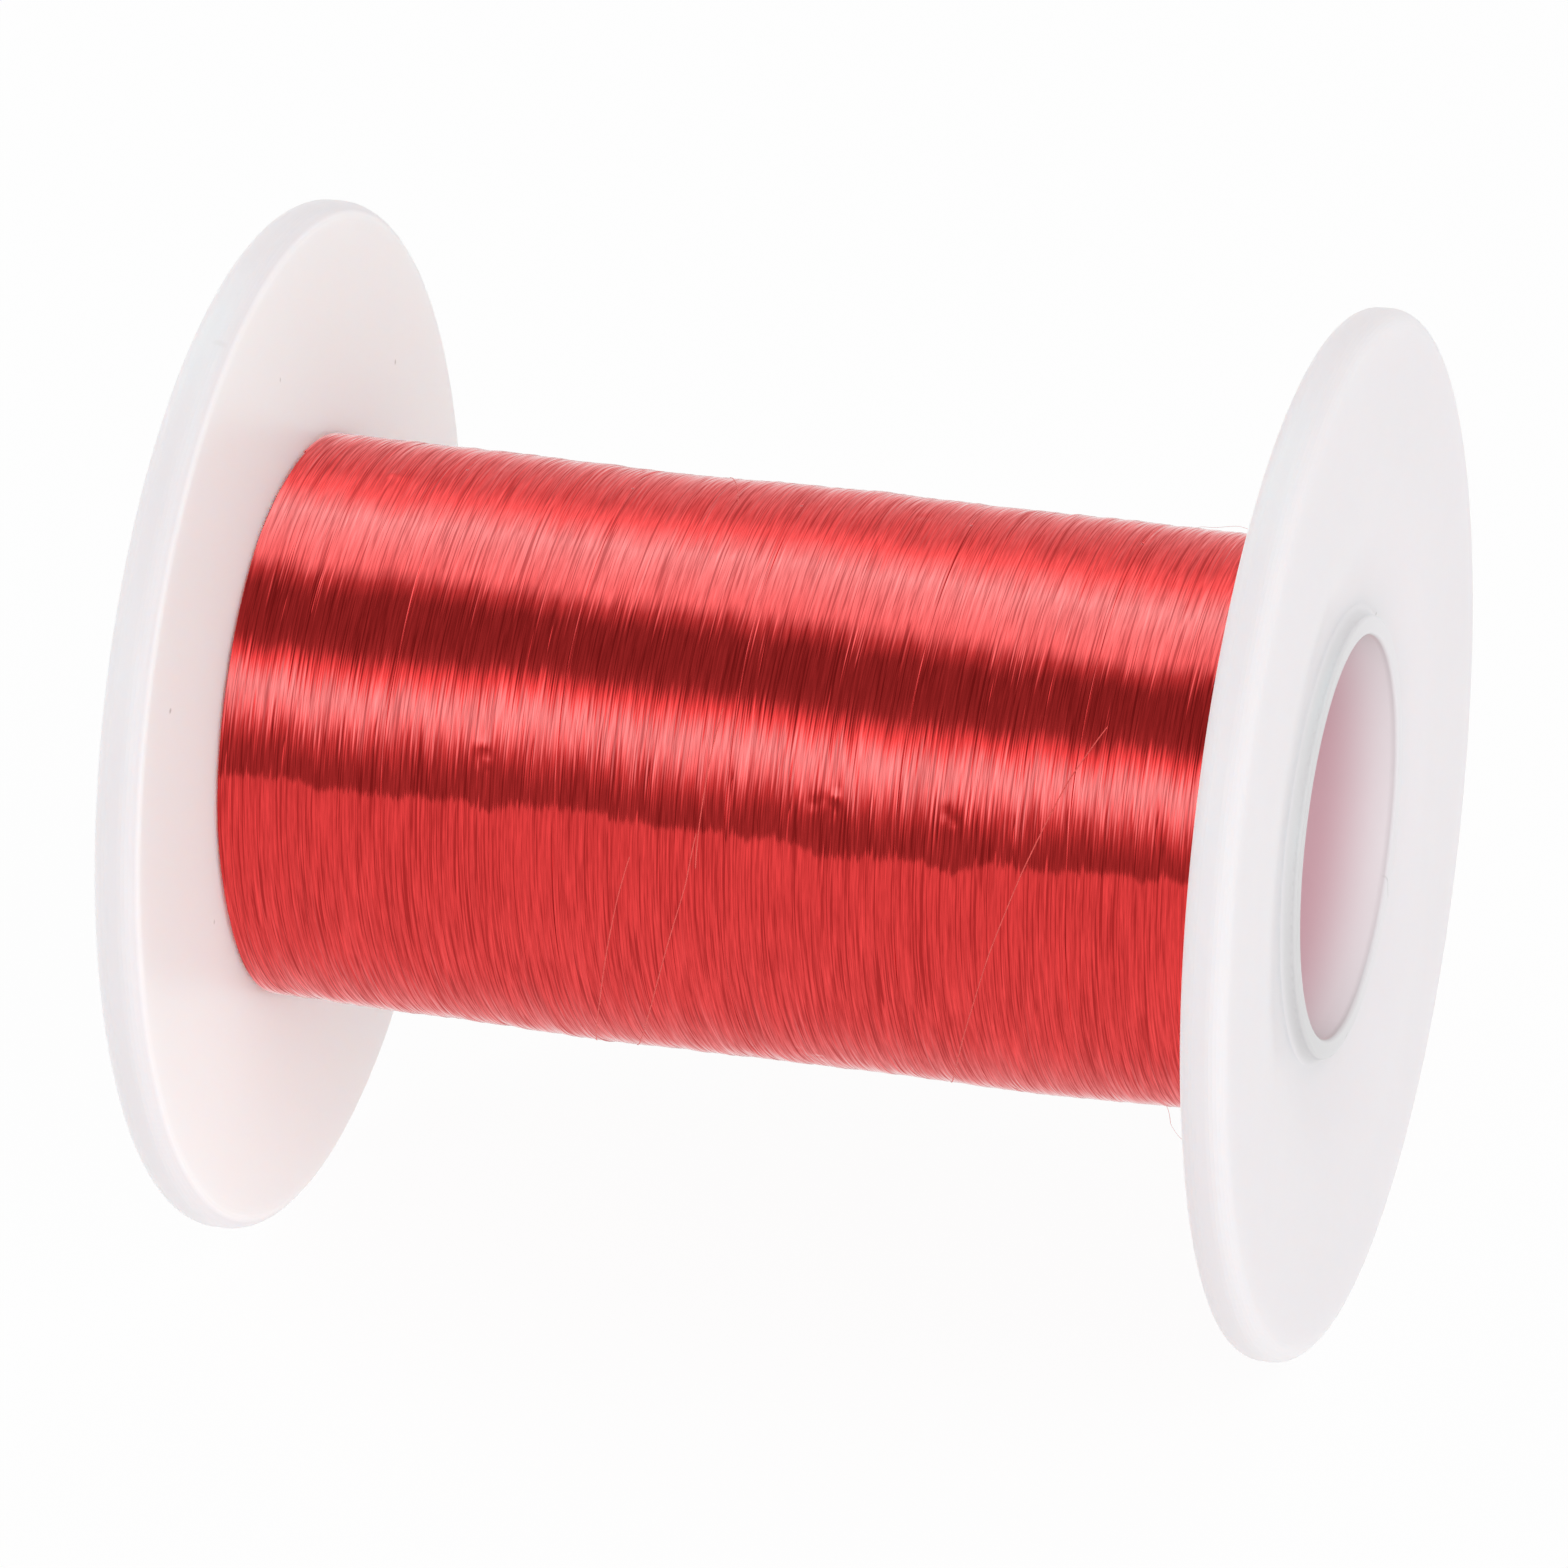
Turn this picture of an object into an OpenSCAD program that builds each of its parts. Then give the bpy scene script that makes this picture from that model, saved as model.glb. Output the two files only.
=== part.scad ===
// Spool of thread: a plastic barrel with two flanges, wound with very fine red strand.
// The spool lies on its rims with its axis along X. The origin is the middle of the
// bore, +Z is up and all lengths are millimetres.

/* [Barrel] */
// Length over the outer faces of the two rims
spool_len = 56.5; // [40:0.5:90]
// Diameter of the bore that takes a spindle
bore_dia = 20; // [12:0.5:22]
// Wall of the barrel, the tube that runs through both flanges
barrel_wall = 1; // [0.8:0.1:1.6]
// How far each end of the barrel lies below the outer face of the rim
barrel_inset = 0.25; // [0.05:0.05:0.3]
// Rounding of the barrel's end edges, less than half its wall
barrel_round = 0.2; // [0.1:0.05:0.35]

/* [Flanges] */
// Outer diameter of the flanges
flange_dia = 52; // [46:0.5:70]
// Thickness of a flange at its rim
rim_thick = 2.35; // [1.8:0.05:3]
// Rounding of the rim's edges, less than half its thickness
rim_round = 0.95; // [0.3:0.05:1.4]
// Diameter of the shallow dish in the outer face
dish_dia = 37; // [32:0.5:42]
// Depth of the dish where it meets the barrel
dish_depth = 0.95; // [0.4:0.05:1.1]
// Wall of the sleeve that seats the flange on the barrel, inside the winding
sleeve_wall = 1; // [0.8:0.1:1.2]
// Length of that sleeve
sleeve_len = 3.5; // [2:0.5:8]
// Radial gap between a flange and the barrel, filled by the bond
bond_gap = 0.02; // [0.01:0.01:0.05]

/* [Winding] */
// Depth of the winding over the barrel
wind_depth = 3.2; // [3:0.1:8]
// Gap between the winding and the plastic that it is packed against
wind_gap = 0.02; // [0.01:0.01:0.1]
// Thickness of one loop of the outer layer, a bundle that stands for many real turns
loop_dia = 1.2; // [0.6:0.1:1.3]
// Least gap between neighbouring loops
loop_gap = 0.75; // [0.5:0.05:1.5]
// Gap between the outer layer and the core under it, where they lie closest
loop_seat = 0.05; // [0.02:0.01:0.1]
// Radius of the bend where the outer layer leaves a flange
lead_bend = 1.2; // [0.8:0.1:2]

/* [Hidden] */
$fn = 96;

plastic = [0.93, 0.92, 0.93];
thread_red = [0.78, 0.16, 0.17];
least_wall = 0.05;
arc_steps = 8;

bore_r = bore_dia / 2;
barrel_r = bore_r + barrel_wall;
barrel_half = spool_len / 2 - barrel_inset;
barrel_edge = min(barrel_round, barrel_wall / 2 - least_wall);

flange_r = flange_dia / 2;
rim_edge = min(rim_round, rim_thick / 2 - least_wall);
outer_face = spool_len / 2;
inner_face = outer_face - rim_thick;
seat_r = barrel_r + bond_gap;
sleeve_r = seat_r + sleeve_wall;
sleeve_end = inner_face - sleeve_len;

// The dish is two equal arcs: one rounds over from the rim's face, one runs out at the barrel
dish_r = dish_dia / 2;
dish_run = (dish_r - seat_r) / 2;
dish_drop = dish_depth / 2;
dish_arc_r = (dish_run * dish_run + dish_drop * dish_drop) / (2 * dish_drop);
dish_arc_angle = asin(dish_run / dish_arc_r);

// A loop has 24 rings of 6 corners, so between rings it cuts in by the sagitta of a 24-gon
loop_rings = 24;
loop_sides = 6;
bend_steps = 4;
wind_r = barrel_r + wind_depth;
wind_half = inner_face - wind_gap;
loop_r = loop_dia / 2;
helix_r = wind_r - loop_r;
helix_sagitta = helix_r * (1 - cos(180 / loop_rings));
helix_half = wind_half - loop_dia - lead_bend;
outer_loops = floor(2 * helix_half / (loop_dia + loop_gap));
half_turn = 180 * outer_loops;
lead_turn = lead_bend / helix_r * 180 / PI;
core_r = helix_r - helix_sagitta - loop_r - loop_seat;

// Points of an arc from its centre, radius and first and last angle
function arc(centre, radius, from, to) =
    [for (i = [0:arc_steps])
        let (a = from + (to - from) * i / arc_steps)
        centre + radius * [cos(a), sin(a)]];

// Turns a profile of [radius, distance along the axis] about the X axis
module turned() {
    rotate([0, 90, 0]) rotate_extrude() children();
}

module barrel() {
    inner = bore_r + barrel_edge;
    outer = barrel_r - barrel_edge;
    end = barrel_half - barrel_edge;
    color(plastic) turned() polygon(concat(
        arc([inner, -end], barrel_edge, 180, 270),
        arc([outer, -end], barrel_edge, 270, 360),
        arc([outer, end], barrel_edge, 0, 90),
        arc([inner, end], barrel_edge, 90, 180)));
}

module flange() {
    rim_edge_r = flange_r - rim_edge;
    dish_floor = outer_face - dish_depth;
    color(plastic) turned() polygon(concat(
        [[seat_r, sleeve_end], [sleeve_r, sleeve_end], [sleeve_r, inner_face]],
        arc([rim_edge_r, inner_face + rim_edge], rim_edge, 270, 360),
        arc([rim_edge_r, outer_face - rim_edge], rim_edge, 0, 90),
        arc([dish_r, outer_face - dish_arc_r], dish_arc_r, 90, 90 + dish_arc_angle),
        arc([seat_r, dish_floor + dish_arc_r], dish_arc_r, 270 + dish_arc_angle, 270)));
}

module left_flange() {
    mirror([1, 0, 0]) flange();
}

module right_flange() {
    flange();
}

// The packed turns under the outer layer, opened at each end for the flange's sleeve
module winding_core() {
    bed_r = barrel_r + wind_gap;
    step_r = sleeve_r + wind_gap;
    step_x = sleeve_end - wind_gap;
    color(thread_red) turned() polygon([
        [bed_r, -step_x], [step_r, -step_x], [step_r, -wind_half], [core_r, -wind_half],
        [core_r, wind_half], [step_r, wind_half], [step_r, step_x], [bed_r, step_x]]);
}

// Centre line of the outer layer, as [angle round the axis, place along it]. It leaves one
// flange along the axis, bends round into the helix, and meets the other flange the same way.
function lead(side) =
    [for (i = [0:bend_steps - 1])
        let (a = 90 * (side < 0 ? i : bend_steps - 1 - i) / bend_steps)
        side * [half_turn + lead_turn * cos(a), helix_half + lead_bend * (1 - sin(a))]];

outer_route = concat(
    [[-half_turn - lead_turn, -wind_half]],
    lead(-1),
    [for (i = [0:outer_loops * loop_rings])
        let (turns = i / loop_rings)
        [360 * turns - half_turn, 2 * helix_half * turns / outer_loops - helix_half]],
    lead(1),
    [[half_turn + lead_turn, wind_half]]);

outer_line = [for (p = outer_route) [p[1], helix_r * sin(p[0]), helix_r * cos(p[0])]];
last = len(outer_line) - 1;

// The six corners of a ring stand square to the line, the first of them outwards
function ring(i) =
    let (
        out = [0, sin(outer_route[i][0]), cos(outer_route[i][0])],
        along = outer_line[min(i + 1, last)] - outer_line[max(i - 1, 0)],
        across = cross(along, out) / norm(cross(along, out)))
    [for (k = [0:loop_sides - 1])
        let (a = 360 * k / loop_sides)
        outer_line[i] + loop_r * (cos(a) * out + sin(a) * across)];

module winding_outer_layer() {
    corners = [for (i = [0:last]) each ring(i)];
    walls = [for (i = [0:last - 1], k = [0:loop_sides - 1])
        let (
            near = i * loop_sides,
            far = near + loop_sides,
            next = (k + 1) % loop_sides)
        each [[near + k, near + next, far + next], [near + k, far + next, far + k]]];
    end = last * loop_sides;
    first_cap = [for (k = [1:loop_sides - 2]) [0, k + 1, k]];
    last_cap = [for (k = [1:loop_sides - 2]) [end, end + k, end + k + 1]];
    color(thread_red) polyhedron(corners, concat(walls, first_cap, last_cap));
}

// Least gap of the outer layer to itself, between points from half a loop to two loops apart
outer_gaps = [for (i = [0:last], j = [i + loop_rings / 2:min(i + 2 * loop_rings, last)])
    norm(outer_line[i] - outer_line[j]) - loop_dia];
echo(outer_loops = outer_loops, outer_layer_least_gap = min(outer_gaps));

barrel();
left_flange();
right_flange();
winding_core();
winding_outer_layer();
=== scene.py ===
import math

import bpy
import numpy as np
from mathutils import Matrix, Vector


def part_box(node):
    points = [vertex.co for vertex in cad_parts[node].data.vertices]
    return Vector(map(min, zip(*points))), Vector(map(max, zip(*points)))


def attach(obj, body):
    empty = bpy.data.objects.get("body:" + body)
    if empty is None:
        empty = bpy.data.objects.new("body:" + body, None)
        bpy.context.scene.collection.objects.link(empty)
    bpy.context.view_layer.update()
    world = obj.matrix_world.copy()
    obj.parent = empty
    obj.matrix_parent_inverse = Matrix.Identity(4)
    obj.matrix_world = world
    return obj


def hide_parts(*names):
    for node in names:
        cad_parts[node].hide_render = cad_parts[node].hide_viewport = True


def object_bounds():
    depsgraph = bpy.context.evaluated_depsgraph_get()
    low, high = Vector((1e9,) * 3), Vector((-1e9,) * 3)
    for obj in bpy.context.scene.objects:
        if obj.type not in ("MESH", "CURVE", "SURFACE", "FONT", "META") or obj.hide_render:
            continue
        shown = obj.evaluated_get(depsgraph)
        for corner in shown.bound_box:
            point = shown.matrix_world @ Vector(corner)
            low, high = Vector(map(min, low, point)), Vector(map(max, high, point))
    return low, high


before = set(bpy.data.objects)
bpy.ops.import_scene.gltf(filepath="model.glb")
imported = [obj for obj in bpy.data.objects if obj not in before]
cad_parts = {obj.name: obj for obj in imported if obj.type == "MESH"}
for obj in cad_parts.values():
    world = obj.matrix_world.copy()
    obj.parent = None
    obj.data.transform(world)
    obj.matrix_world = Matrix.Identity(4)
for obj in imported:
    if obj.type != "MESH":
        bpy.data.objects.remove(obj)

# A plastic spool wound with fine red strand, lying on its two rims. The barrel and the flanges are
# the frame's own solids with a better material. The winding is built here, turn by turn, and so is
# the bead of bond at each end of the barrel.

cad_low, cad_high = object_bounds()
MM = 0.001

# ---------------------------------------------------------------- sizes, from the frame
FLOOR_Z = cad_low.z
BARREL_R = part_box("barrel")[1].z
WIND_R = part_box("winding_outer_layer")[1].z
WIND_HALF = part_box("winding_core")[1].x
SLEEVE_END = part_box("right_flange")[0].x
BARREL_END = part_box("barrel")[1].x
FLANGE_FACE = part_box("right_flange")[1].x
BORE_R = BARREL_R - 1.0 * MM        # inside the barrel's wall
HUB_X = FLANGE_FACE - 0.95 * MM     # the floor of the dish at the barrel
SLEEVE_R = BARREL_R + 1.06 * MM     # over the flange's sleeve, which reaches under the winding
CLEARANCE = 0.02 * MM               # between two pieces that are joined
FILLET = 0.5 * MM                   # of the bond round the barrel's end

# ---------------------------------------------------------------- colours
PLASTIC_PALE = (0.81, 0.795, 0.815, 1)
PLASTIC_DARK = (0.79, 0.77, 0.79, 1)
# Painted light: the flanges' inner faces and the bore's mouth get less light, and this paler colour stands
# in for it
PAINTED_LIGHT_PALE = (1.0, 0.98, 1.0, 1)
# Painted shade, in grey, on the front of the barrel's end and of its bond
WALL_PAINTED_SHADE = (0.66, 0.66, 0.665, 1)
# Painted shade deeper in the bore, darker and pinker; the pink is partly the winding's red through the thin
# wall
BORE_PAINTED_SHADE = (0.79, 0.535, 0.59, 1)
MARK_GREY = (0.52, 0.50, 0.50, 1)
STRAY_DEEP = (0.72, 0.075, 0.07, 1)
STRAY_PALE = (0.88, 0.15, 0.13, 1)
# The deepest streaks, and the painted shade in the gaps between strands
THREAD_DEEP_AND_GAP_SHADE = (0.42, 0.003, 0.003, 1)
THREAD_PALE = (0.92, 0.017, 0.016, 1)
WHITE = (1, 1, 1, 1)

# ---------------------------------------------------------------- where the plastic's colour, its painted light and its painted shade turn
# Each pair is the place where the change starts and the one where it is full.
# The flanges' inner faces are painted paler, as painted light, from here in
INNER_FACE = (WIND_HALF + 0.22 * MM, WIND_HALF + 0.04 * MM)
BORE_WALL = (BORE_R + 0.10 * MM, BORE_R + 0.02 * MM)
# The bore's mouth is painted paler, as painted light
BORE_MOUTH = (BARREL_END - 0.1 * MM, BARREL_END - 0.45 * MM)
# Painted shade in the bore, from where it starts to where it is full
BORE_DEPTH = (BARREL_END - 0.3 * MM, BARREL_END - 4.2 * MM)
# Painted shade round the barrel's end: the radius where it starts and is full, and the side, from back to
# front
WALL_END = (BARREL_R + FILLET, BARREL_R + 0.1 * FILLET)
WALL_FRONT = (BARREL_R, -BARREL_R)

# ---------------------------------------------------------------- fine grain
CLOUD_SCALE = 90                    # features a metre in the plastic's cloudiness
SKIN_SCALE = 700                    # and in its skin
SKIN_ROUGHNESS = (0.30, 0.38)
SKIN_HEIGHT = 0.02 * MM
# Streaks along a strand, each as features a metre across the strands and along, and detail
STREAKS = (10000, 280, 3)
# Painted shade in the gaps between strands, as streaks of the same kind
GAP_SHADE_STREAKS = (13000, 180, 0)
STRAY_STREAKS = (3000, 600, 1)
STREAK_ROUGHNESS = 0.75             # of the noise they are made of
STREAK_TONE = (0.30, 0.70)          # noise at which a streak is deepest and palest
GAP_SHADE_EDGE = (0.62, 0.72)             # noise at which the painted shade of a gap starts and is full
GAP_SHADE_TONE = -0.6                     # that a gap's painted shade adds to the tone
COAT_WEIGHT = (0.40, 1.0)           # of the lacquer on the deepest and palest streaks, and less in the gaps' painted shade

# ---------------------------------------------------------------- small marks on the plastic
# Each is (place, half size along x, y and z, tilt about x, share of grey), in millimetres and degrees.
MARKS = {
    "left_flange": [
        ((-25.9, 14.57, 13.77), (0.3, 0.12, 0.16), 0, 0.8),
        ((-25.9, -3.27, 19.37), (0.3, 0.10, 0.14), 0, 0.6),
        ((-25.9, -20.36, 8.53), (0.3, 0.18, 0.15), 0, 0.8),
        ((-25.9, -14.71, -5.03), (0.3, 0.12, 0.14), 0, 0.6),
        ((-26.5, -10.3, 23.8), (0.4, 0.30, 0.20), -40, 0.15)],
    "right_flange": [
        ((27.33, 7.40, 8.86), (0.3, 0.16, 0.10), 0, 0.8),
        ((27.33, 4.6, 10.2), (0.3, 3.0, 0.05), -24, 0.25),
        ((27.9, -4.2, -16.4), (0.3, 0.05, 0.5), 12, 0.4),
        ((27.35, 1.2, -11.3), (0.3, 0.5, 0.06), -20, 0.4)],
    "barrel": [
        ((28.0, 8.4, -6.3), (0.4, 0.06, 0.9), 8, 0.7),
        ((28.0, 0.1, -10.7), (0.4, 0.28, 0.06), 10, 0.5)]}
MARK_EDGE = (1.2, 0.4)              # in half sizes, where a mark starts and where it is full

# ---------------------------------------------------------------- the view
SENSOR = 36
LENS = 254.29
CAMERA_AZIMUTH = 16.42              # degrees, from the front towards the right flange
CAMERA_ELEVATION = 23.12
CAMERA_DISTANCE = 550.35 * MM
AIM_RIGHT = -0.913 * MM             # the camera looks a little left of and below the spool's middle
AIM_UP = -0.485 * MM

# ---------------------------------------------------------------- the stage
FLOOR_HALF = 1.0
FLOOR_GREY = (0.9, 0.9, 0.9, 1)
FLOOR_GLOW = (0.7, 0.95)            # share of plain white in the floor: as it lights, and as it is seen
WORLD_LEVEL = (0.46, 1.0)           # of the world: as it lights, and as it is seen
# Each is (name, azimuth, elevation, distance, size, radiance), in degrees and metres.
SOFTBOXES = [("softbox_right", 50, 25, 1.0, 1.2, 1.40),
             ("softbox_top", 16, 62, 1.0, 0.9, 0.2),
             ("softbox_left", -90, 30, 1.0, 0.8, 1.8),
             ("softbox_back", 180, 35, 1.0, 0.8, 0.6)]

# The half tube round the spool that the thread mirrors. Each pair of STUDIO is (degrees up from the
# front horizon, level of light), from its front edge over the top to the back.
STUDIO = [(-3.7, 0.39), (6, 0.39), (15, 0.8), (22, 3.3), (30, 5.5), (35, 4.4), (42, 1.4), (50, 0.39),
          (58, 0.29), (73, 0.29), (80, 0.62), (88, 2.9), (100, 3.8), (112, 4.8), (120, 3.0), (128, 1.6),
          (140, 0.95), (170, 0.9)]
STUDIO_R = 0.40
STUDIO_HALF = 1.4
STUDIO_STEPS = 48
STUDIO_FADE = (0.45, 0.75)          # along the axis, where its lights run out into a plain grey
STUDIO_SLANT = 13                   # degrees that the lights' edges slant in one radius along the axis
SLANT_PIVOT = -0.27                 # radii along the axis, where the lights stand as STUDIO says
RED_LIFT = 0.06                     # red that the surround has over its green and blue
RED_LIMIT = 1.45                    # of the soft lights, which would else drive the thread past full red
BOUNCE_LEVEL = 0.7                  # of the surround, in light that the thread throws on the plastic

# ---------------------------------------------------------------- the winding, in millimetres
# Places on it are (distance along the axis, degrees up from the front horizon).
PITCH = 0.12                        # one turn of strand to the next
STEPS = 400                         # points along a turn
RIDGE = (-0.006, 0.003, 0.003)      # the strand's profile: the groove beside it and its two shoulders
SECTIONS = 6                        # pieces that the wound layer is split into
LAYER_DEPTH = 0.74                  # of the wound layer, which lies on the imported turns
LAYER_GAP = 0.01                    # between its inner wall and them

# How the strand strays from an even winding. Heights are those of one unit of noise.
WAVER = 0.007                       # up and down along the strand
WAVER_LENGTH = 0.9
SINK = 0.015                        # down only, where the noise is over SINK_FROM
SINK_LENGTH = 1.3
SINK_FROM = 1.2
# Each is (height, turns across, length along), and the last one lies sideways.
BUNDLES = (0.015, 2.2, 2.0)
WAVES = (0.055, 22, 6)
SWELL = (0.10, 70, 9)
LEAN = (0.05, 7, 2.5)

# Small lumps, each a cluster of wrinkles with a shallow dent in front of it
LUMPS = [(5.2, 18.5), (11.4, 19.5), (-12.4, 21), (-20.3, 85), (6.3, 91), (-8.0, 150), (14.0, 200),
         (-17.0, 260), (3.0, 310)]
DENT = (0, -1.7, -0.045, 0.9)       # beside, ahead, height, width
WRINKLES = 5
WRINKLE_SPREAD = 0.3
WRINKLE_HEIGHT = (-0.03, 0.05)
WRINKLE_WIDTH = (0.14, 0.3)

# Strands that lie across the others
STRAND_R = 0.030
STRAND_RAISE = 0.016                # of its middle line over the turns under it
STRAND_POINTS = 24                  # for each place that it is led through
TURNS_UNDER = 2                     # either side of it that it has to clear
END_DIP = 0.06                      # of its ends, which go in among the turns over END_POINTS points
END_POINTS = 6
CROSSING = [[(18.5, 40), (16.9, 27.8), (15.1, 9.6), (13.5, -8.5), (11.6, -33.6), (9.4, -66), (8.0, -85)],
            [(-4.6, 4), (-5.3, -6.3), (-6.9, -34), (-8.7, -62), (-10.5, -88)],
            [(-1.3, 10), (-1.8, -1.7), (-4.1, -32), (-6.5, -62), (-8.2, -82)],
            [(-0.6, 36), (-0.9, 25.6), (-1.2, 9.6), (-1.3, 2)],
            [(-6.4, 126), (-5.3, 112), (-3.7, 95), (-3.0, 86)]]
BACK_STRANDS = 12                   # short ones at the back, drawn at random
BACK_SPREAD = 24
BACK_UP = (115, 240)
BACK_LENGTH = (15, 60)              # degrees
BACK_LEAN = 0.05                    # along the axis in a degree
BACK_SHARES = (0, 0.33, 0.66, 1)    # of its length, at which a strand is given a place
BACK_LIMIT = 25                     # from the middle: a strand that would lie further out is left out

# The two loose ends, which stand a little away: points as x, y and z
LOOSE_R = 0.012
LOOSE_POINTS = 12                   # for each place
LOOSE_ENDS = [[(20.1, -6.6, -12.4), (20.4, -5.8, -12.9), (20.55, -5.8, -13.4), (20.6, -5.8, -13.9),
               (21.0, -5.9, -14.4), (21.6, -6.2, -14.7), (22.3, -6.6, -14.5)],
              [(18.0, 5.6, 12.8), (18.7, 5.8, 13.15), (19.4, 5.8, 13.15), (20.6, 5.8, 13.4),
               (21.3, 5.8, 13.25), (22.4, 5.6, 12.8)]]
ROUNDING = 8                        # points either side over which a line's corners are rounded

rng = np.random.default_rng(7)


# ================================================================ helpers for meshes
def new_object(name, verts, faces, material, smooth=True):
    """An object with a mesh of these points and faces. A face is a list of point numbers."""
    mesh = bpy.data.meshes.new(name)
    mesh.vertices.add(len(verts))
    mesh.vertices.foreach_set("co", np.asarray(verts, np.float32).ravel())
    sizes = np.array([len(face) for face in faces])
    loops = np.concatenate([np.asarray(face) for face in faces])
    starts = np.concatenate([[0], np.cumsum(sizes)[:-1]])
    mesh.loops.add(len(loops))
    mesh.loops.foreach_set("vertex_index", loops.astype(np.int32))
    mesh.polygons.add(len(sizes))
    mesh.polygons.foreach_set("loop_start", starts.astype(np.int32))
    mesh.polygons.foreach_set("loop_total", sizes.astype(np.int32))
    mesh.polygons.foreach_set("use_smooth", np.full(len(sizes), smooth))
    mesh.update(calc_edges=True)
    mesh.validate()
    mesh.materials.append(material)
    return linked(bpy.data.objects.new(name, mesh))


def linked(obj):
    """Put an object in the scene."""
    bpy.context.scene.collection.objects.link(obj)
    return obj


def ring_points(x, radius, angle):
    """Points round the spool's axis. The angle starts at the top and grows towards the back."""
    return np.stack([x, radius * np.sin(angle), radius * np.cos(angle)], axis=-1)


def ring(x, radius, count):
    """An even ring of points round the axis."""
    angle = 2 * math.pi * np.arange(count) / count
    return ring_points(np.full(count, x), np.full(count, radius), angle)


def revolved(outline, count, flip):
    """Points and faces of a closed outline, given as radius and x, turned round the axis."""
    verts = np.concatenate([ring(x, radius, count) for radius, x in outline])
    faces = []
    for j in range(len(outline)):
        here = j * count
        beside = (j + 1) % len(outline) * count
        for i in range(count):
            n = (i + 1) % count
            face = [here + i, here + n, beside + n, beside + i]
            faces.append(face[::-1] if flip else face)
    return verts, faces


def turn_angle(degrees):
    """Angle round the axis from the top, of a place given in degrees up from the front."""
    return np.radians(np.asarray(degrees, float) - 90)


def smooth_noise(count, width):
    """Unit noise of count points, smoothed by a Gaussian of width points."""
    pad = int(4 * width) + 1
    raw = rng.standard_normal(count + 2 * pad)
    kernel = np.exp(-0.5 * (np.arange(-pad, pad + 1) / width) ** 2)
    line = np.convolve(raw, kernel, mode="same")[pad:-pad]
    return line / line.std()


def smooth_sheet(rows, columns, row_width, column_width):
    """Unit noise on a sheet: rows run along the axis, columns run round it and join up."""
    raw = rng.standard_normal((rows, columns))
    across = np.fft.fftfreq(rows)[:, None]
    along = np.fft.fftfreq(columns)[None, :]
    blur = np.exp(-2 * (math.pi * row_width * across) ** 2 - 2 * (math.pi * column_width * along) ** 2)
    sheet = np.fft.ifft2(np.fft.fft2(raw) * blur).real
    return sheet / sheet.std()


# ================================================================ helpers for materials
def nodes_of(name):
    """A new material and its node tree, emptied."""
    material = bpy.data.materials.new(name)
    material.use_nodes = True
    tree = material.node_tree
    tree.nodes.clear()
    return material, tree


def feed(tree, socket, value):
    """Give a socket its value: what another node puts out, or a constant."""
    if isinstance(value, bpy.types.NodeSocket):
        tree.links.new(value, socket)
    else:
        socket.default_value = value


def add(tree, kind, inputs=None, **settings):
    """A node with its settings, and its inputs by name or number."""
    node = tree.nodes.new(kind)
    for key, value in settings.items():
        setattr(node, key, value)
    for key, value in (inputs or {}).items():
        feed(tree, node.inputs[key], value)
    return node


def maths(tree, operation, *values, clamp=False):
    """What a Math node makes of one, two or three values."""
    node = add(tree, "ShaderNodeMath", dict(enumerate(values)), operation=operation, use_clamp=clamp)
    return node.outputs[0]


def ranged(tree, value, start, end, low=0.0, high=1.0, smooth=False):
    """low where the value is at start, high where it is at end, and held beyond them."""
    inputs = {"Value": value, "From Min": start, "From Max": end, "To Min": low, "To Max": high}
    kind = "SMOOTHSTEP" if smooth else "LINEAR"
    node = add(tree, "ShaderNodeMapRange", inputs, interpolation_type=kind)
    return node.outputs[0]


def mixed(tree, share, first, second):
    """The first colour where share is 0, and the second where it is 1."""
    node = add(tree, "ShaderNodeMix", {"Factor": share, "A": first, "B": second}, data_type="RGBA")
    return node.outputs["Result"]


def noise(tree, place, scale, detail, roughness=0.5):
    """Noise with so many features a metre."""
    node = add(tree, "ShaderNodeTexNoise", {"Vector": place, "Scale": scale, "Detail": detail,
                                            "Roughness": roughness})
    return node.outputs["Fac"]


def object_place(tree):
    """A point's place on the spool, in metres."""
    return add(tree, "ShaderNodeTexCoord").outputs["Object"]


def surfaced(tree, shader):
    """Make a shader the material's surface."""
    add(tree, "ShaderNodeOutputMaterial", {"Surface": shader.outputs[0]})


def streak_noise(tree, across, along, detail):
    """Noise drawn out round the axis, with so many features a metre across the strands and along."""
    scaled = add(tree, "ShaderNodeMapping", {"Vector": object_place(tree), "Scale": (across, along, along)})
    return noise(tree, scaled.outputs["Vector"], 1, detail, STREAK_ROUGHNESS)


# ================================================================ materials
def marked(tree, place, colour, marks):
    """The colour given, with small grey marks at their places."""
    covered = None
    for centre, half, tilt, most in marks:
        fit = add(tree, "ShaderNodeMapping", {"Vector": place}, vector_type="TEXTURE")
        fit.inputs["Location"].default_value = [c * MM for c in centre]
        fit.inputs["Rotation"].default_value = (math.radians(tilt), 0, 0)
        fit.inputs["Scale"].default_value = [h * MM for h in half]
        away = add(tree, "ShaderNodeVectorMath", {0: fit.outputs["Vector"]}, operation="LENGTH")
        share = ranged(tree, away.outputs["Value"], *MARK_EDGE, 0.0, most)
        covered = share if covered is None else maths(tree, "MAXIMUM", covered, share)
    return colour if covered is None else mixed(tree, covered, colour, MARK_GREY)


def milky_with_painted_light(tree, place, depth):
    """The plastic's own colour, a little cloudy, with painted light on the flanges' inner faces and what
    lies between them: they get less light, so their colour is painted paler."""
    cloud = noise(tree, place, CLOUD_SCALE, 2)
    cloudy = mixed(tree, cloud, PLASTIC_DARK, PLASTIC_PALE)
    # Painted light: the inner faces are paler where they get less light
    return mixed(tree, ranged(tree, depth, *INNER_FACE), cloudy, PAINTED_LIGHT_PALE)


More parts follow.
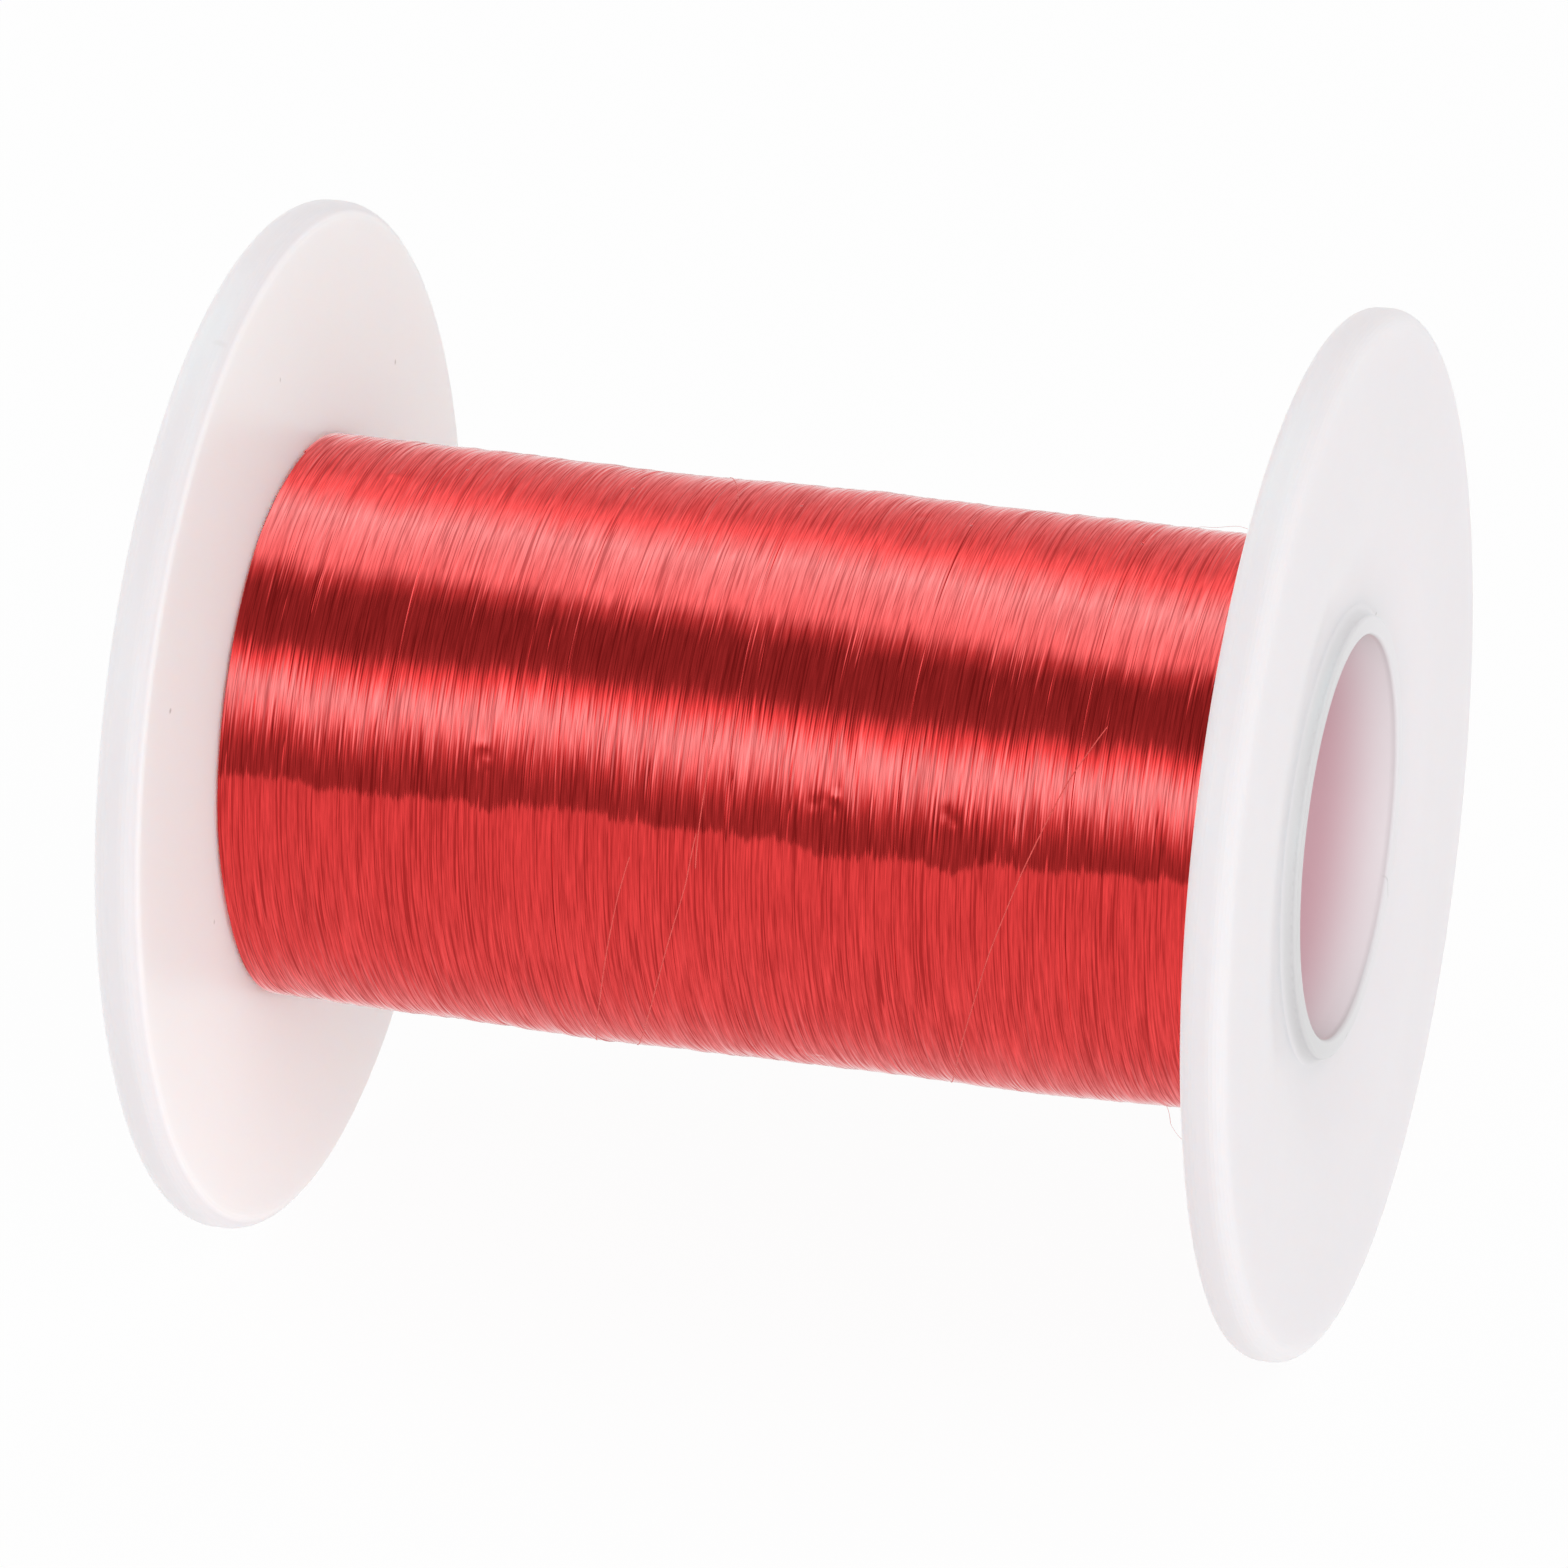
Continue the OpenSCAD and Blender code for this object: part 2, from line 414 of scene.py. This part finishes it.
def barrel_painted_shade_and_light(tree, place, split, depth, colour):
    """The colour given, with grey painted shade on the front round the end of the barrel's wall, and
    painted light that makes the bore's mouth pale. Deeper in the bore it is darker and pinker: painted
    shade, pinker with the red of the winding through the thin wall."""
    flat = add(tree, "ShaderNodeVectorMath", {0: place, 1: (0, 1, 1)}, operation="MULTIPLY")
    away = add(tree, "ShaderNodeVectorMath", {0: flat.outputs["Vector"]}, operation="LENGTH")
    radius = away.outputs["Value"]
    # Painted shade in grey on the front round the end of the barrel's wall
    wall = ranged(tree, radius, *WALL_END, smooth=True)
    front = ranged(tree, split.outputs["Y"], *WALL_FRONT, smooth=True)
    colour = mixed(tree, maths(tree, "MULTIPLY", wall, front), colour, WALL_PAINTED_SHADE)
    bore = ranged(tree, radius, *BORE_WALL)
    # Painted light: the bore's mouth is paler
    mouth = ranged(tree, depth, *BORE_MOUTH)
    colour = mixed(tree, maths(tree, "MULTIPLY", mouth, bore), colour, PAINTED_LIGHT_PALE)
    # Painted shade, darker and pinker deeper in the bore
    deep = ranged(tree, depth, *BORE_DEPTH, smooth=True)
    return mixed(tree, maths(tree, "MULTIPLY", bore, deep), colour, BORE_PAINTED_SHADE)


def moulded_skin(tree, place):
    """Roughness and normal of the plastic's slightly uneven surface."""
    skin = noise(tree, place, SKIN_SCALE, 2)
    bump = add(tree, "ShaderNodeBump", {"Strength": 0.25, "Distance": SKIN_HEIGHT, "Height": skin})
    return ranged(tree, skin, 0, 1, *SKIN_ROUGHNESS), bump.outputs["Normal"]


def plastic(name, marks, scatter, with_barrel_paint):
    """Milky plastic with a soft gloss. scatter is the share of light that it scatters inside it.
    For the barrel and the bond it also has painted shade and light round the barrel's end and in the bore."""
    material, tree = nodes_of(name)
    place = object_place(tree)
    split = add(tree, "ShaderNodeSeparateXYZ", {0: place})
    depth = maths(tree, "ABSOLUTE", split.outputs["X"])
    colour = milky_with_painted_light(tree, place, depth)
    if with_barrel_paint:
        colour = barrel_painted_shade_and_light(tree, place, split, depth, colour)
    colour = marked(tree, place, colour, marks)
    roughness, normal = moulded_skin(tree, place)
    surfaced(tree, add(tree, "ShaderNodeBsdfPrincipled", {
        "Base Color": colour,
        "Roughness": roughness,
        "Normal": normal,
        "IOR": 1.49,
        "Specular IOR Level": 0.2,
        "Specular Tint": (1.0, 0.6, 0.6, 1),
        "Subsurface Weight": scatter,
        "Subsurface Radius": (1.0, 0.86, 0.8),
        "Subsurface Scale": 2.0 * MM}))
    return material


def stray_thread():
    """The strand where it lies loose, with less of the winding's shine."""
    material, tree = nodes_of("red_strand_loose")
    surfaced(tree, add(tree, "ShaderNodeBsdfPrincipled", {
        "Base Color": mixed(tree, streak_noise(tree, *STRAY_STREAKS), STRAY_DEEP, STRAY_PALE),
        "Roughness": 0.35,
        "Specular IOR Level": 0.06,
        "Specular Tint": (1.0, 0.5, 0.5, 1)}))
    return material


def thread():
    """Red lacquered strand. Each strand is a little paler or deeper along its length, in colour
    and in gloss, so streaks run along the turns. Between some of them painted shade darkens the gaps, in
    colour and in coat."""
    material, tree = nodes_of("red_strand")
    tone = ranged(tree, streak_noise(tree, *STREAKS), *STREAK_TONE)
    # Painted shade in the gaps between strands
    gap = ranged(tree, streak_noise(tree, *GAP_SHADE_STREAKS), *GAP_SHADE_EDGE)
    tone_and_gap_shade = maths(tree, "MULTIPLY_ADD", gap, GAP_SHADE_TONE, tone, clamp=True)
    surfaced(tree, add(tree, "ShaderNodeBsdfPrincipled", {
        "Base Color": mixed(tree, tone_and_gap_shade, THREAD_DEEP_AND_GAP_SHADE, THREAD_PALE),
        "Metallic": 1.0,
        "Roughness": 0.10,
        "Specular Tint": (0.95, 0.25, 0.25, 1),
        "Coat Weight": ranged(tree, tone_and_gap_shade, 0, 1, *COAT_WEIGHT),
        "Coat Roughness": 0.10,
        "Coat IOR": 1.56}))
    return material


# ================================================================ the bond
def bond_bead(name, side, material):
    """The fillet of bond in the corner between the barrel's end and the flange."""
    rounds = 192
    steps = 10
    root = 0.1 * MM       # how deep its unseen sides lie in the barrel and the flange
    lip = 0.15 * MM       # how far it runs out on the flange
    proud = 0.004 * MM    # how far its curved face stands clear of the flange's
    outline = [(BARREL_R - root, HUB_X - root),
               (BARREL_R - root, HUB_X + FILLET),
               (BARREL_R - CLEARANCE, HUB_X + FILLET)]
    for k in range(steps + 1):
        a = math.radians(180 + 90 * k / steps)
        outline.append((BARREL_R + FILLET * (1 + math.cos(a)), HUB_X + FILLET * (1 + math.sin(a)) + proud))
    outline.append((BARREL_R + FILLET + lip, HUB_X - CLEARANCE))
    outline.append((BARREL_R + FILLET, HUB_X - root))
    verts, faces = revolved([(radius, side * x) for radius, x in outline], rounds, side < 0)
    return new_object(name, verts, faces, material)


# ================================================================ the winding
class Layer:
    """The outermost layer of one strand wound from flange to flange. ring numbers the points
    along it, STEPS to a turn, and step is how far apart they are. lift and lean are how far each
    point lies out from and beside its even place. All lengths are in millimetres."""

    def __init__(self):
        self.turns = int(2 * WIND_HALF / MM / PITCH)
        self.pitch = 2 * WIND_HALF / MM / self.turns
        self.ring = np.arange((self.turns + 1) * STEPS + 1)
        self.step = 2 * math.pi * WIND_R / MM / STEPS
        waver = WAVER * smooth_noise(len(self.ring), WAVER_LENGTH / self.step)
        sunk = np.maximum(smooth_noise(len(self.ring), SINK_LENGTH / self.step) - SINK_FROM, 0)
        self.lift = waver - SINK * sunk + (self.sheet(BUNDLES) + self.sheet(WAVES) + self.sheet(SWELL))
        self.lift -= self.lift.mean()
        self.lean = self.sheet(LEAN)
        for at, up in LUMPS:
            self.add_lump(at, up)

    def sheet(self, kind):
        """Smooth noise at each point of the strand."""
        height, turns_across, length_along = kind
        noise_sheet = smooth_sheet(self.turns + 2, STEPS, turns_across, length_along / self.step)
        return height * noise_sheet[self.ring // STEPS, self.ring % STEPS]

    def add_lump(self, at, up):
        """Lift the strands over a cluster of small wrinkles, and sink them over a dent."""
        x = self.along(0)
        angle = 2 * math.pi * (self.ring % STEPS) / STEPS
        apart = (angle - turn_angle(up) + math.pi) % (2 * math.pi) - math.pi
        wrinkles = [DENT]
        for _ in range(WRINKLES):
            wrinkles.append((*rng.normal(0, WRINKLE_SPREAD, 2), rng.uniform(*WRINKLE_HEIGHT),
                             rng.uniform(*WRINKLE_WIDTH)))
        for beside, ahead, height, width in wrinkles:
            across = (x - at - beside) ** 2 + (apart * WIND_R / MM - ahead) ** 2
            self.lift += height * np.exp(-across / (2 * width ** 2))

    def along(self, column):
        """Distance along the axis of a column of the strand's profile."""
        x = self.pitch * (self.ring / STEPS + column / len(RIDGE)) + self.lean
        half = WIND_HALF / MM
        return np.clip(x - half, -half, half)

    def points(self):
        """Points of the sheet as ring, column, xyz. The last column of a ring is the first
        of the same place one turn on, so it isn't in the array."""
        angle = 2 * math.pi * self.ring / STEPS
        columns = [ring_points(self.along(k) * MM, WIND_R + (self.lift + rise) * MM, angle)
                   for k, rise in enumerate(RIDGE)]
        return np.stack(columns, axis=1)

    def top(self, x, angle):
        """Radius in millimetres over the highest strand near a place."""
        last = self.turns - TURNS_UNDER - 1
        turn = np.clip((x + WIND_HALF / MM) / self.pitch, TURNS_UNDER, last).astype(int)
        place = np.round(angle / (2 * math.pi) * STEPS).astype(int) % STEPS
        near = [self.lift[(turn + k) * STEPS + place] for k in range(-TURNS_UNDER, TURNS_UNDER + 1)]
        return WIND_R / MM + np.max(near, axis=0) + RIDGE[-1]


def sheet_index(i, k):
    """Number of the sheet's point at ring i, column k. The last column is one turn on."""
    columns = len(RIDGE)
    return np.where(k == columns, (i + STEPS) * columns, i * columns + k)


def sheet_faces(count):
    """Faces of the strand's profile over count rings."""
    i = np.arange(count)[:, None]
    k = np.arange(len(RIDGE))[None, :]
    corners = [sheet_index(i, k), sheet_index(i, k + 1), sheet_index(i + 1, k + 1), sheet_index(i + 1, k)]
    return np.stack(corners, -1).reshape(-1, 4).tolist()


def wall_faces(count, base):
    """Faces from the sheet's two edges down to the inner wall, and that wall. Its points start at
    base: a ring on the left and then one on the right."""
    columns = len(RIDGE)
    faces = []
    for j in range(STEPS):
        left = base + j
        left_next = base + (j + 1) % STEPS
        right = left + STEPS
        right_next = left_next + STEPS
        first = j * columns
        first_next = first + columns
        last = (count + j) * columns
        last_next = last + columns
        faces.append([left, left_next, right_next, right])
        faces.append([first, first_next, left_next, left])
        faces.append([last, right, right_next, last_next])
    return faces


def stair_faces(start, foot, flip):
    """Faces that close the step at a start or an end of the sheet, down to a foot in the wall."""
    columns = len(RIDGE)
    stair = [(start + STEPS) * columns] + [start * columns + k for k in range(columns)][::-1]
    return [[q, p, foot] if flip else [p, q, foot] for p, q in zip(stair, stair[1:])]


def closed_section(points):
    """Points and faces of a piece of the sheet, closed by side walls and an inner wall."""
    count = len(points) - 1 - STEPS
    sheet = points.reshape(-1, 3)
    base = len(sheet)
    inner_r = WIND_R - (LAYER_DEPTH - LAYER_GAP) * MM
    left = sheet[0, 0]
    right = sheet[(count + STEPS) * len(RIDGE), 0]
    verts = np.concatenate([sheet, ring(left, inner_r, STEPS), ring(right, inner_r, STEPS)])
    faces = sheet_faces(count) + wall_faces(count, base)
    faces += stair_faces(0, base, False) + stair_faces(count, base + STEPS, True)
    used = np.unique(np.concatenate([np.asarray(face) for face in faces]))
    moved = np.zeros(len(verts), int)
    moved[used] = np.arange(len(used))
    return verts[used], [moved[face] for face in faces]


def wound_sections(layer, material):
    """The wound layer, as closed pieces side by side."""
    points = layer.points()
    pieces = []
    for s in range(SECTIONS):
        first = layer.turns * s // SECTIONS * STEPS
        last = layer.turns * (s + 1) // SECTIONS * STEPS
        verts, faces = closed_section(points[first:last + STEPS + 1])
        pieces.append(new_object(f"winding_section_{s + 1}", verts, faces, material))
    return pieces


def wound_base(material):
    """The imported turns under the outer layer, opened at each end for the flange's sleeve."""
    bed_r = BARREL_R + CLEARANCE
    top_r = WIND_R - LAYER_DEPTH * MM
    step_x = SLEEVE_END - CLEARANCE
    outline = [(bed_r, -step_x), (SLEEVE_R, -step_x), (SLEEVE_R, -WIND_HALF), (top_r, -WIND_HALF),
               (top_r, WIND_HALF), (SLEEVE_R, WIND_HALF), (SLEEVE_R, step_x), (bed_r, step_x)]
    verts, faces = revolved(outline, STEPS, True)
    return new_object("winding_base", verts, faces, material, smooth=False)


# ================================================================ strands that cross the others
def unit(vectors):
    """The vectors, each brought to length 1."""
    return vectors / np.linalg.norm(vectors, axis=1)[:, None]


def flat_tube(points, radius, sides=8):
    """Points and faces of a closed tube along a line of points, in metres. It is pressed flat
    to half its width."""
    ahead = unit(np.gradient(points, axis=0))
    side = unit(np.cross(ahead, unit(points * (0, 1, 1))))
    out = np.cross(side, ahead)
    a = 2 * math.pi * np.arange(sides) / sides
    rings = points[:, None] + radius * (np.cos(a)[None, :, None] * out[:, None] / 2
                                        + np.sin(a)[None, :, None] * side[:, None])
    faces = []
    for i in range(len(points) - 1):
        here = i * sides
        beside = here + sides
        for j in range(sides):
            n = (j + 1) % sides
            faces.append([here + j, here + n, beside + n, beside + j])
    end = (len(points) - 1) * sides
    faces.append(list(range(sides))[::-1])
    faces.append([end + j for j in range(sides)])
    return rings.reshape(-1, 3), faces


def rounded(line):
    """A line of points with its corners rounded."""
    kernel = np.hanning(2 * ROUNDING + 1)
    kernel /= kernel.sum()
    padded = np.pad(line, ((ROUNDING, ROUNDING), (0, 0)), mode="reflect", reflect_type="odd")
    return np.stack([np.convolve(column, kernel, mode="valid") for column in padded.T], axis=1)


def through(places, density):
    """Points on straight lines through the places, as many for each place as density says."""
    places = np.asarray(places, float)
    along = np.linspace(0, len(places) - 1, density * len(places))
    return np.stack([np.interp(along, np.arange(len(places)), column) for column in places.T], axis=1)


def laid_strand(layer, places):
    """A strand laid over the winding through the places given, as a line in metres."""
    x, angle = through([(x, turn_angle(up)) for x, up in places], STRAND_POINTS).T
    x, angle, radius = rounded(np.stack([x, angle, layer.top(x, angle)], axis=1)).T
    dip = np.clip(1 - np.arange(len(radius)) / END_POINTS, 0, 1) * END_DIP
    radius += STRAND_RAISE - dip - dip[::-1]
    return ring_points(x * MM, radius * MM, angle)


def back_strands(layer):
    """Short strands at random places on the winding's back."""
    lines = []
    for _ in range(BACK_STRANDS):
        x = rng.uniform(-BACK_SPREAD, BACK_SPREAD)
        up = rng.uniform(*BACK_UP)
        length = rng.uniform(*BACK_LENGTH)
        lean = rng.normal(0, BACK_LEAN)
        places = [(x + lean * length * share, up + length * share) for share in BACK_SHARES]
        if all(abs(place[0]) < BACK_LIMIT for place in places):
            lines.append(laid_strand(layer, places))
    return lines


def crossing_strands(layer, material):
    """Strands that lie across the others: those of CROSSING, and short ones at the back. Those of
    LOOSE_ENDS stand a little away."""
    laid = [laid_strand(layer, places) for places in CROSSING] + back_strands(layer)
    loose = [rounded(through(places, LOOSE_POINTS) * MM) for places in LOOSE_ENDS]
    tubes = [flat_tube(line, STRAND_R * MM) for line in laid]
    tubes += [flat_tube(line, LOOSE_R * MM) for line in loose]
    verts = np.concatenate([points for points, _ in tubes])
    faces = []
    base = 0
    for points, skin in tubes:
        faces += [[base + v for v in face] for face in skin]
        base += len(points)
    return new_object("winding_crossing_strands", verts, faces, material)


# ================================================================ stage
def view_axes(azimuth, elevation):
    """Directions to the right, up and back towards the eye, of a view from there."""
    a = math.radians(azimuth)
    e = math.radians(elevation)
    back = Vector((math.sin(a) * math.cos(e), -math.cos(a) * math.cos(e), math.sin(e)))
    right = Vector((math.cos(a), math.sin(a), 0))
    return right, back.cross(right), back


def faced(obj, place, back):
    """Put a camera or lamp at a place, looking away from back."""
    obj.location = place
    obj.rotation_mode = "QUATERNION"
    obj.rotation_quaternion = (-back).to_track_quat("-Z", "Y")


def make_camera():
    """The camera at the photograph's angle."""
    right, up, back = view_axes(CAMERA_AZIMUTH, CAMERA_ELEVATION)
    data = bpy.data.cameras.new("camera")
    data.sensor_width = SENSOR
    data.lens = LENS
    data.clip_start = 0.01
    data.clip_end = 20
    camera = linked(bpy.data.objects.new("camera", data))
    faced(camera, right * AIM_RIGHT + up * AIM_UP + back * CAMERA_DISTANCE, back)
    bpy.context.scene.camera = camera


def seen_white(tree):
    """1 for camera, transmission and glossy rays, which see the plain white surroundings. A
    glossy ray in light that plastic has scattered isn't one of them."""
    path = add(tree, "ShaderNodeLightPath").outputs
    direct = maths(tree, "SUBTRACT", path["Is Glossy Ray"], path["Diffuse Depth"], clamp=True)
    first = maths(tree, "MAXIMUM", path["Is Camera Ray"], direct)
    return maths(tree, "MAXIMUM", first, path["Is Transmission Ray"])


def make_floor():
    """The plain floor, which looks near white and keeps the spool's shadow."""
    material, tree = nodes_of("floor_white")
    diffuse = add(tree, "ShaderNodeBsdfDiffuse", {"Color": FLOOR_GREY})
    glow = add(tree, "ShaderNodeEmission")
    share = ranged(tree, seen_white(tree), 0, 1, *FLOOR_GLOW)
    surfaced(tree, add(tree, "ShaderNodeMixShader", {0: share, 1: diffuse.outputs[0], 2: glow.outputs[0]}))
    corners = [(x * FLOOR_HALF, y * FLOOR_HALF, FLOOR_Z) for x, y in ((-1, -1), (1, -1), (1, 1), (-1, 1))]
    floor = new_object("floor", corners, [(0, 1, 2, 3)], material, smooth=False)


def make_world():
    """Even light from all round, from surroundings that look white."""
    world = bpy.data.worlds.new("world")
    bpy.context.scene.world = world
    world.use_nodes = True
    tree = world.node_tree
    tree.nodes.clear()
    level = ranged(tree, seen_white(tree), 0, 1, *WORLD_LEVEL)
    back = add(tree, "ShaderNodeBackground", {"Color": WHITE, "Strength": level})
    add(tree, "ShaderNodeOutputWorld", {"Surface": back.outputs[0]})


def softbox(name, azimuth, elevation, distance, size, radiance):
    """A soft area light facing the spool. It lights surfaces, and what is mirrored is the
    surround."""
    _, _, back = view_axes(azimuth, elevation)
    data = bpy.data.lights.new(name, "AREA")
    data.shape = "SQUARE"
    data.size = size
    data.energy = radiance * math.pi * size ** 2
    lamp = linked(bpy.data.objects.new(name, data))
    lamp.visible_glossy = False
    faced(lamp, back * distance, back)


def surround_ramp(tree, place):
    """The levels of STUDIO as a colour, over the angle round the axis, as shares of the
    brightest."""
    brightest = max(level for _, level in STUDIO)
    low = STUDIO[0][0]
    high = STUDIO[-1][0]
    split = add(tree, "ShaderNodeSeparateXYZ", {0: place}).outputs
    turn = maths(tree, "ARCTAN2", split["Z"], maths(tree, "MULTIPLY", split["Y"], -1))
    slanted = maths(tree, "MULTIPLY_ADD", split["X"], math.radians(STUDIO_SLANT) / STUDIO_R, turn)
    offset = STUDIO_SLANT * SLANT_PIVOT
    share = ranged(tree, slanted, math.radians(low + offset), math.radians(high + offset))
    ramp = add(tree, "ShaderNodeValToRGB", {0: share})
    points = ramp.color_ramp.elements
    for i, (angle, level) in enumerate(STUDIO):
        at = (angle - low) / (high - low)
        point = points[i] if i < 2 else points.new(at)
        red = min(level + RED_LIFT, RED_LIMIT)
        point.position = at
        point.color = (red / brightest, level / brightest, level / brightest, 1)
    return ramp.outputs["Color"], brightest


def surround_material():
    """The surround's light: the lights of STUDIO, and a plain level far along the axis and in
    light that the thread throws on the plastic."""
    material, tree = nodes_of("studio_surround")
    place = object_place(tree)
    lights, brightest = surround_ramp(tree, place)
    split = add(tree, "ShaderNodeSeparateXYZ", {0: place}).outputs
    faded = ranged(tree, maths(tree, "ABSOLUTE", split["X"]), *STUDIO_FADE)
    path = add(tree, "ShaderNodeLightPath").outputs
    plain = maths(tree, "MAXIMUM", faded, path["Diffuse Depth"], clamp=True)
    surfaced(tree, add(tree, "ShaderNodeEmission", {
        "Color": mixed(tree, plain, lights, WHITE),
        "Strength": ranged(tree, plain, 0, 1, brightest, BOUNCE_LEVEL)}))
    return material


def studio_surround():
    """The studio as the thread mirrors it: a half tube round the spool's axis, from the front
    edge of the table over the top, with a soft light in front and one above. Only reflections
    see it."""
    low = STUDIO[0][0]
    high = STUDIO[-1][0]
    verts = []
    for i in range(STUDIO_STEPS + 1):
        a = math.radians(low + (high - low) * i / STUDIO_STEPS)
        y = -STUDIO_R * math.cos(a)
        z = STUDIO_R * math.sin(a)
        verts += [(-STUDIO_HALF, y, z), (STUDIO_HALF, y, z)]
    faces = [(2 * i, 2 * i + 1, 2 * i + 3, 2 * i + 2) for i in range(STUDIO_STEPS)]
    surround = new_object("studio_surround", verts, faces, surround_material())
    surround.visible_camera = False
    surround.visible_diffuse = False
    surround.visible_shadow = False


# ================================================================ build
make_camera()
make_floor()
make_world()
studio_surround()
for settings in SOFTBOXES:
    softbox(*settings)

finishes = {"barrel": plastic("milky_plastic_barrel", MARKS["barrel"], 0, True),
            "left_flange": plastic("milky_plastic_left", MARKS["left_flange"], 1, False),
            "right_flange": plastic("milky_plastic_right", MARKS["right_flange"], 1, False)}
for name, finish in finishes.items():
    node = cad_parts[name]
    node.data.materials.clear()
    node.data.materials.append(finish)
    node.visible_glossy = False     # the thread doesn't mirror it

# The bond has the barrel's painted shade on its front
bond = plastic("milky_plastic_bond", [], 0, True)
for name, side in (("bond_left", -1), ("bond_right", 1)):
    bead = bond_bead(name, side, bond)
    bead.visible_diffuse = False    # so that it doesn't darken the plastic that it lies on
    bead.visible_shadow = False
    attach(bead, "root")

red = thread()
base = wound_base(red)
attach(base, "root")
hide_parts("winding_core")

layer = Layer()
strays = crossing_strands(layer, stray_thread())
strays.visible_glossy = False
for piece in wound_sections(layer, red) + [strays]:
    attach(piece, "root")
    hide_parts("winding_outer_layer")

view = bpy.context.scene.view_settings
view.view_transform = "Standard"
